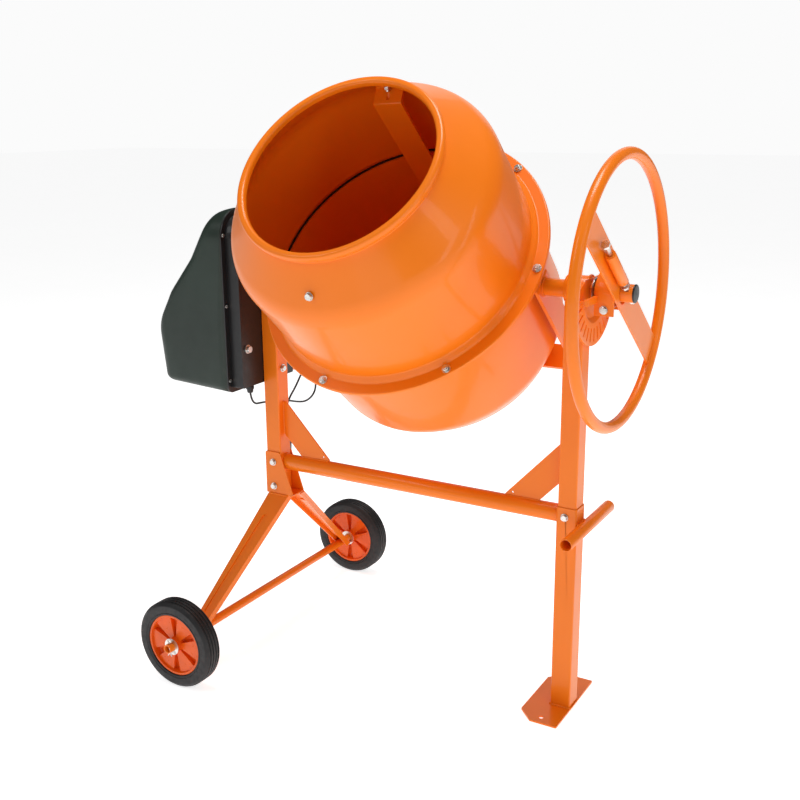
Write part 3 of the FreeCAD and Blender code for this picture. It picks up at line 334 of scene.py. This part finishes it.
# ------------------------------------------------------------------ motor housing cover, pressed with soft edges
SIDE = [(-442, 1069.0), (-488, 1068, 34), (-513, 1010, 60), (-548, 950, 70), (-616, 868, 80), (-660, 786, 100), (-644, 636)]
side_line = rounded(SIDE, 3.0, closed=False)


def depth_at(z):
    best = None
    for a, b in zip(side_line, side_line[1:]):
        if min(a.y, b.y) - 1e-9 <= z <= max(a.y, b.y) + 1e-9 and abs(b.y - a.y) > 1e-9:
            x = a.x + (b.x - a.x) * (z - a.y) / (b.y - a.y)
            best = x if best is None else min(best, x)
    return -442.0 - (best if best is not None else -486.0)


HC = 112.0


def plan_point(side_index, t, d):
    """a point of the housing's plan outline, taken in by d, going round it once"""
    h, top, bot = HC - d, 1068.0 - d, 638.0 + d
    rt, rb = max(66.0 - d, 0.0), max(16.0 - d, 0.0)
    rt, rb = min(rt, h), min(rb, h)
    if side_index == 0:      # bottom, left to right
        return (-h + rb + (2 * h - 2 * rb) * t, bot)
    if side_index == 1:      # bottom right corner
        a = -math.pi / 2 + t * math.pi / 2
        return (h - rb + rb * math.cos(a), bot + rb + rb * math.sin(a))
    if side_index == 2:      # right side, upwards
        return (h, bot + rb + (top - rt - bot - rb) * t)
    if side_index == 3:
        a = t * math.pi / 2
        return (h - rt + rt * math.cos(a), top - rt + rt * math.sin(a))
    if side_index == 4:      # top, right to left
        return (h - rt - (2 * h - 2 * rt) * t, top)
    if side_index == 5:
        a = math.pi / 2 + t * math.pi / 2
        return (-h + rt + rt * math.cos(a), top - rt + rt * math.sin(a))
    if side_index == 6:
        return (-h, top - rt - (top - rt - bot - rb) * t)
    a = math.pi + t * math.pi / 2
    return (-h + rb + rb * math.cos(a), bot + rb + rb * math.sin(a))


COUNTS = (14, 8, 34, 12, 10, 12, 34, 8)
EDGE = 30.0
levels = [("wall", 0.0), ("wall", 0.12), ("wall", 0.3), ("wall", 0.6), ("wall", 0.85)]
insets = [EDGE * (1 - math.cos(math.radians(a))) for a in (0, 12, 24, 36, 48, 60, 72, 84, 90)] + [38, 50, 64, 78, 92, 104, 111.6]
verts, rings_ = [], []


def cover_vertex(y, z, d, share=None):
    full = depth_at(min(max(z, 640.0), 1067.0))
    r = min(EDGE, full * 0.8)
    if share is not None:
        depth = (full - r) * share
    else:
        dd = min(d, r) if d < EDGE else r
        dd = r * min(1.0, d / EDGE)
        depth = full - r + math.sqrt(max(0.0, r * r - (r - dd) ** 2))
    crown = 2.5 * max(0.0, 1 - (y / HC) ** 2) if share is None else 0.0
    x = -442.0 - min(depth + crown * min(1.0, d / EDGE), 218.0)
    zz = z + (12.0 if z < 850 else 0.0) * min(1.0, depth / 218.0) * max(0.0, (850.0 - z) / 212.0)
    return P(x, y, zz)


for kind, share in levels:
    row = []
    for si, cnt in enumerate(COUNTS):
        for k in range(cnt):
            y, z = plan_point(si, k / cnt, 0.0)
            row.append(len(verts))
            verts.append(cover_vertex(y, z, 0.0, share))
    rings_.append(row)
for d in insets:
    row = []
    for si, cnt in enumerate(COUNTS):
        for k in range(cnt):
            y, z = plan_point(si, k / cnt, d)
            row.append(len(verts))
            verts.append(cover_vertex(y, z, d))
    rings_.append(row)
faces = []
for a, b in zip(rings_, rings_[1:]):
    n = len(a)
    for i in range(n):
        j = (i + 1) % n
        faces.append((a[i], a[j], b[j], b[i]))
last = rings_[-1]
# close the middle line with one face over the innermost ring
n = len(last)
c0 = COUNTS[0]
start2 = c0 + COUNTS[1]
faces.append(tuple(last))
cover = new_mesh("housing_cover_skin", verts, faces, "green_plastic", "stand", 60.0)
mod = cover.modifiers.new("wall", "SOLIDIFY")
mod.thickness = 0.0028
mod.offset = -1.0
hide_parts("guard_cover")

# ------------------------------------------------------------------ supply lead
ROUTE = [(-440, -30, 622), (-441, -24, 590), (-444, 24, 584), (-446, 75, 576), (-447, 125, 565), (-447, 172, 549), (-446, 212, 541),
         (-444, 248, 556), (-441, 251, 590), (-438, 233, 624), (-435, 206, 646), (-434, 177, 628), (-434, 150, 598), (-433, 113, 570),
         (-433, 96, 532), (-433, 93, 494)]
cu = bpy.data.curves.new("supply_lead", "CURVE")
cu.dimensions = "3D"
sp = cu.splines.new("NURBS")
sp.points.add(len(ROUTE) - 1)
for p, q in zip(sp.points, ROUTE):
    p.co = (*P(*q), 1.0)
sp.order_u = 3
sp.use_endpoint_u = True
cu.resolution_u = 14
cu.bevel_depth = 0.0025
cu.bevel_resolution = 5
cu.materials.append(MATS["black_rubber"])
lead = bpy.data.objects.new("supply_lead", cu)
coll.objects.link(lead)
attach(lead, "stand")
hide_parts("supply_cord")

# ------------------------------------------------------------------ weld beads, painted over
def bead(name, pts, r, body, seed=1, closed=False):
    return tube(name, pts, r / 1000, "orange_paint", body, sides=10, ripple=0.16, seed=seed, closed=closed)


def circle_x(x, r, n=40):
    return [P(x, r * math.cos(2 * math.pi * k / n), ZT + r * math.sin(2 * math.pi * k / n)) for k in range(n)]


for s in (-1, 1):
    for f in (-1, 1):
        bead("weld_gusset_post_%d%d" % (s > 0, f > 0), [P(s * 361.6, f * 2.6, 603), P(s * 361.6, f * 2.6, 524)], 1.9, "stand", 3)
        bead("weld_gusset_tube_%d%d" % (s > 0, f > 0), [P(s * 234, f * 2.6, 469.6), P(s * 310, f * 2.6, 469.6)], 1.9, "stand", 4)
        bead("weld_sleeve_%d%d" % (s > 0, f > 0), [P(s * 362.5, f * 21.6, 912.6), P(s * 402.5, f * 21.6, 912.6)], 2.2, "stand", 5)
bead("weld_foot", [P(383 + a * 24.0, b * 24.0, 5.0) for a, b in ((-1, -0.85), (-0.85, -1), (0.85, -1), (1, -0.85), (1, 0.85), (0.85, 1), (-0.85, 1), (-1, 0.85))],
     2.4, "stand", 6, True)
for nm, x in (("left", -361.2), ("right", 359.2)):
    bead("weld_cross_" + nm, [P(x, 20.2 * math.cos(2 * math.pi * k / 40), 450 + 20.2 * math.sin(2 * math.pi * k / 40)) for k in range(40)], 1.9, "stand", 7, True)
for f in (-1, 1):
    bead("weld_handle_%d" % (f > 0), [P(407.4, -21, 430 + f * 7.6), P(407.4, 21, 430 + f * 7.6)], 2.3, "stand", 8)
for nm, side, y_axle, dx in (("near", -1, 306.0, 0.0), ("far", 1, 341.0, 15.0)):
    slope = side * (24.0 - y_axle) / 266.0
    bead("weld_leg_top_" + nm, [P(-398 + dx, side * 25.2, 369.2), P(-344 + dx, side * 25.2, 369.2)], 2.4, "stand", 9)
    bead("weld_axle_" + nm, [P(-423.3 + 12.2 * math.cos(2 * math.pi * k / 36), side * y_axle + slope * 12.2 * math.sin(2 * math.pi * k / 36) + side * 0.6,
                               104 + 12.2 * math.sin(2 * math.pi * k / 36)) for k in range(36)], 1.8, "stand", 10, True)
bead("weld_index", circle_x(408.6, 30.2), 1.9, "stand", 11, True)
bead("weld_trunnion_right", circle_x(312.3, 19.2), 2.0, "yoke", 12, True)
bead("weld_trunnion_left", circle_x(-331.3, 19.2), 2.0, "yoke", 13, True)
ca, sa = math.cos(UA), math.sin(UA)
for e in (-1, 1):
    for f in (-1, 1):
        pts = []
        for k in range(13):
            w = -30.0 + 5.0 * k
            u = e * math.sqrt(255.6 ** 2 - w ** 2)
            pts.append(P(HX + f * 2.6, u * ca - w * sa, ZT + u * sa + w * ca))
        bead("weld_spoke_%d%d" % (e > 0, f > 0), pts, 1.8, "hand_wheel", 14)

# ------------------------------------------------------------------ CAD nodes kept: softened edges
SOFT = {"upright_left": 1.2, "upright_right": 1.2, "lower_leg": 1.4, "foot_plate": 0.8, "foot_handle": 0.6, "cross_tube": 0.5, "gussets": 0.7,
        "wheel_bracket": 0.8, "wheel_leg_near": 0.9, "wheel_leg_far": 0.9, "axle_tube": 0.5, "axle_washers": 0.3, "index_plate": 0.7,
        "yoke_bar": 1.2, "trunnion_left": 0.5, "trunnion_right": 0.5, "guard_tray": 0.8, "switch_box": 0.8, "hub_near": 0.9, "hub_far": 0.9,
        "spoke_plate": 0.8, "hub_saddle": 0.7, "large_pulley": 0.5, "ring_gear": 0.5, "drum_hub": 0.6, "hub_cap": 0.6, "blade_upper": 0.7,
        "blade_lower": 0.7, "flange_bolts": 0.25, "blade_bolts": 0.25, "stand_bolts": 0.25, "motor_mount_bolts": 0.25, "hub_bolts": 0.25,
        "pivot_bolt": 0.25, "saddle_bolt": 0.25, "end_plug": 0.4, "cord_hook": 0.5}
for n, w in SOFT.items():
    o = NODES[n]
    if o.hide_render:
        continue
    wd = o.modifiers.new("weld", "WELD")
    wd.merge_threshold = 0.00002
    bv = o.modifiers.new("edges", "BEVEL")
    bv.width = w / 1000
    bv.segments = 2
    bv.limit_method = "ANGLE"
    bv.angle_limit = math.radians(40)
    bv.use_clamp_overlap = True
    bv.harden_normals = True

# ------------------------------------------------------------------ floor, light, camera
scene.view_settings.view_transform = "Standard"
world = bpy.data.worlds.new("studio")
scene.world = world
world.use_nodes = True
wt = world.node_tree
bg = wt.nodes["Background"]
bg.inputs["Color"].default_value = (0.97, 0.985, 1.0, 1)
bg.inputs["Strength"].default_value = 0.10
fill = wt.nodes.new("ShaderNodeBackground")
fill.inputs["Color"].default_value = (1.0, 1.0, 1.0, 1)
fill.inputs["Strength"].default_value = 0.24
white = wt.nodes.new("ShaderNodeBackground")
white.inputs["Color"].default_value = (1.0, 1.0, 1.0, 1)
white.inputs["Strength"].default_value = 0.965
seen = wt.nodes.new("ShaderNodeLightPath")
pick = wt.nodes.new("ShaderNodeMixShader")
wt.links.new(seen.outputs["Is Camera Ray"], pick.inputs[0])
soft = wt.nodes.new("ShaderNodeMixShader")
wt.links.new(seen.outputs["Is Glossy Ray"], soft.inputs[0])
wt.links.new(fill.outputs[0], soft.inputs[1])
wt.links.new(bg.outputs[0], soft.inputs[2])
wt.links.new(soft.outputs[0], pick.inputs[1])
wt.links.new(white.outputs[0], pick.inputs[2])
wt.links.new(pick.outputs[0], wt.nodes["World Output"].inputs["Surface"])

fm = bpy.data.meshes.new("floor")
fm.from_pydata([(-30, -30, -0.0006), (30, -30, -0.0006), (30, 30, -0.0006), (-30, 30, -0.0006)], [], [(0, 1, 2, 3)])
floor = bpy.data.objects.new("floor", fm)
coll.objects.link(floor)
fm.materials.append(material("pale_floor", (0.95, 0.95, 0.95), 0.6, vary=0.01, vary_scale=1.0, grain=0.01))
for nd in floor.data.materials[0].node_tree.nodes:
    if nd.type == "BSDF_PRINCIPLED":
        nd.inputs["Emission Color"].default_value = (1.0, 1.0, 1.0, 1.0)
        nd.inputs["Emission Strength"].default_value = 0.74


def area(name, at, to, size, power, colour=(1, 1, 1), size_y=None):
    ld = bpy.data.lights.new(name, "AREA")
    ld.energy = power
    ld.color = colour
    ld.size = size
    if size_y:
        ld.shape = "RECTANGLE"
        ld.size_y = size_y
    lo = bpy.data.objects.new(name, ld)
    coll.objects.link(lo)
    lo.location = at
    lo.rotation_mode = "QUATERNION"
    lo.rotation_quaternion = (Vector(to) - Vector(at)).to_track_quat("-Z", "Y")
    return lo


area("key_soft", (-1.6, -2.4, 3.1), (0, 0, 0.8), 1.2, 18)
area("right_strip", (2.7, -1.5, 1.9), (0.1, 0, 0.8), 0.4, 9, size_y=2.2)
area("right_strip_2", (3.0, -0.4, 1.7), (0.1, 0, 0.8), 0.3, 6, size_y=2.0)
area("top_soft", (0.3, 0.2, 3.9), (0.1, 0, 0.6), 1.4, 66)
area("back_soft", (-0.8, 3.2, 2.4), (0, 0, 0.8), 2.0, 10)
area("low_front", (1.1, -3.2, 0.5), (0.1, 0, 0.8), 1.4, 3)

az, el, roll = math.radians(30.45), math.radians(15.19), math.radians(-0.51)
fwd = Vector((-math.sin(az) * math.cos(el), math.cos(az) * math.cos(el), -math.sin(el)))
right = Vector((math.cos(az), math.sin(az), 0))
up = right.cross(fwd)
R = right * math.cos(roll) + up * math.sin(roll)
U = up * math.cos(roll) - right * math.sin(roll)
cd = bpy.data.cameras.new("camera")
cd.sensor_width = 36.0
cd.lens = 47.76
cam = bpy.data.objects.new("camera", cd)
coll.objects.link(cam)
at = P(1143.2, -2003.1, 1279.3)
cam.matrix_world = Matrix(((R.x, U.x, -fwd.x, at.x), (R.y, U.y, -fwd.y, at.y), (R.z, U.z, -fwd.z, at.z), (0, 0, 0, 1)))
scene.camera = cam

bpy.context.view_layer.update()
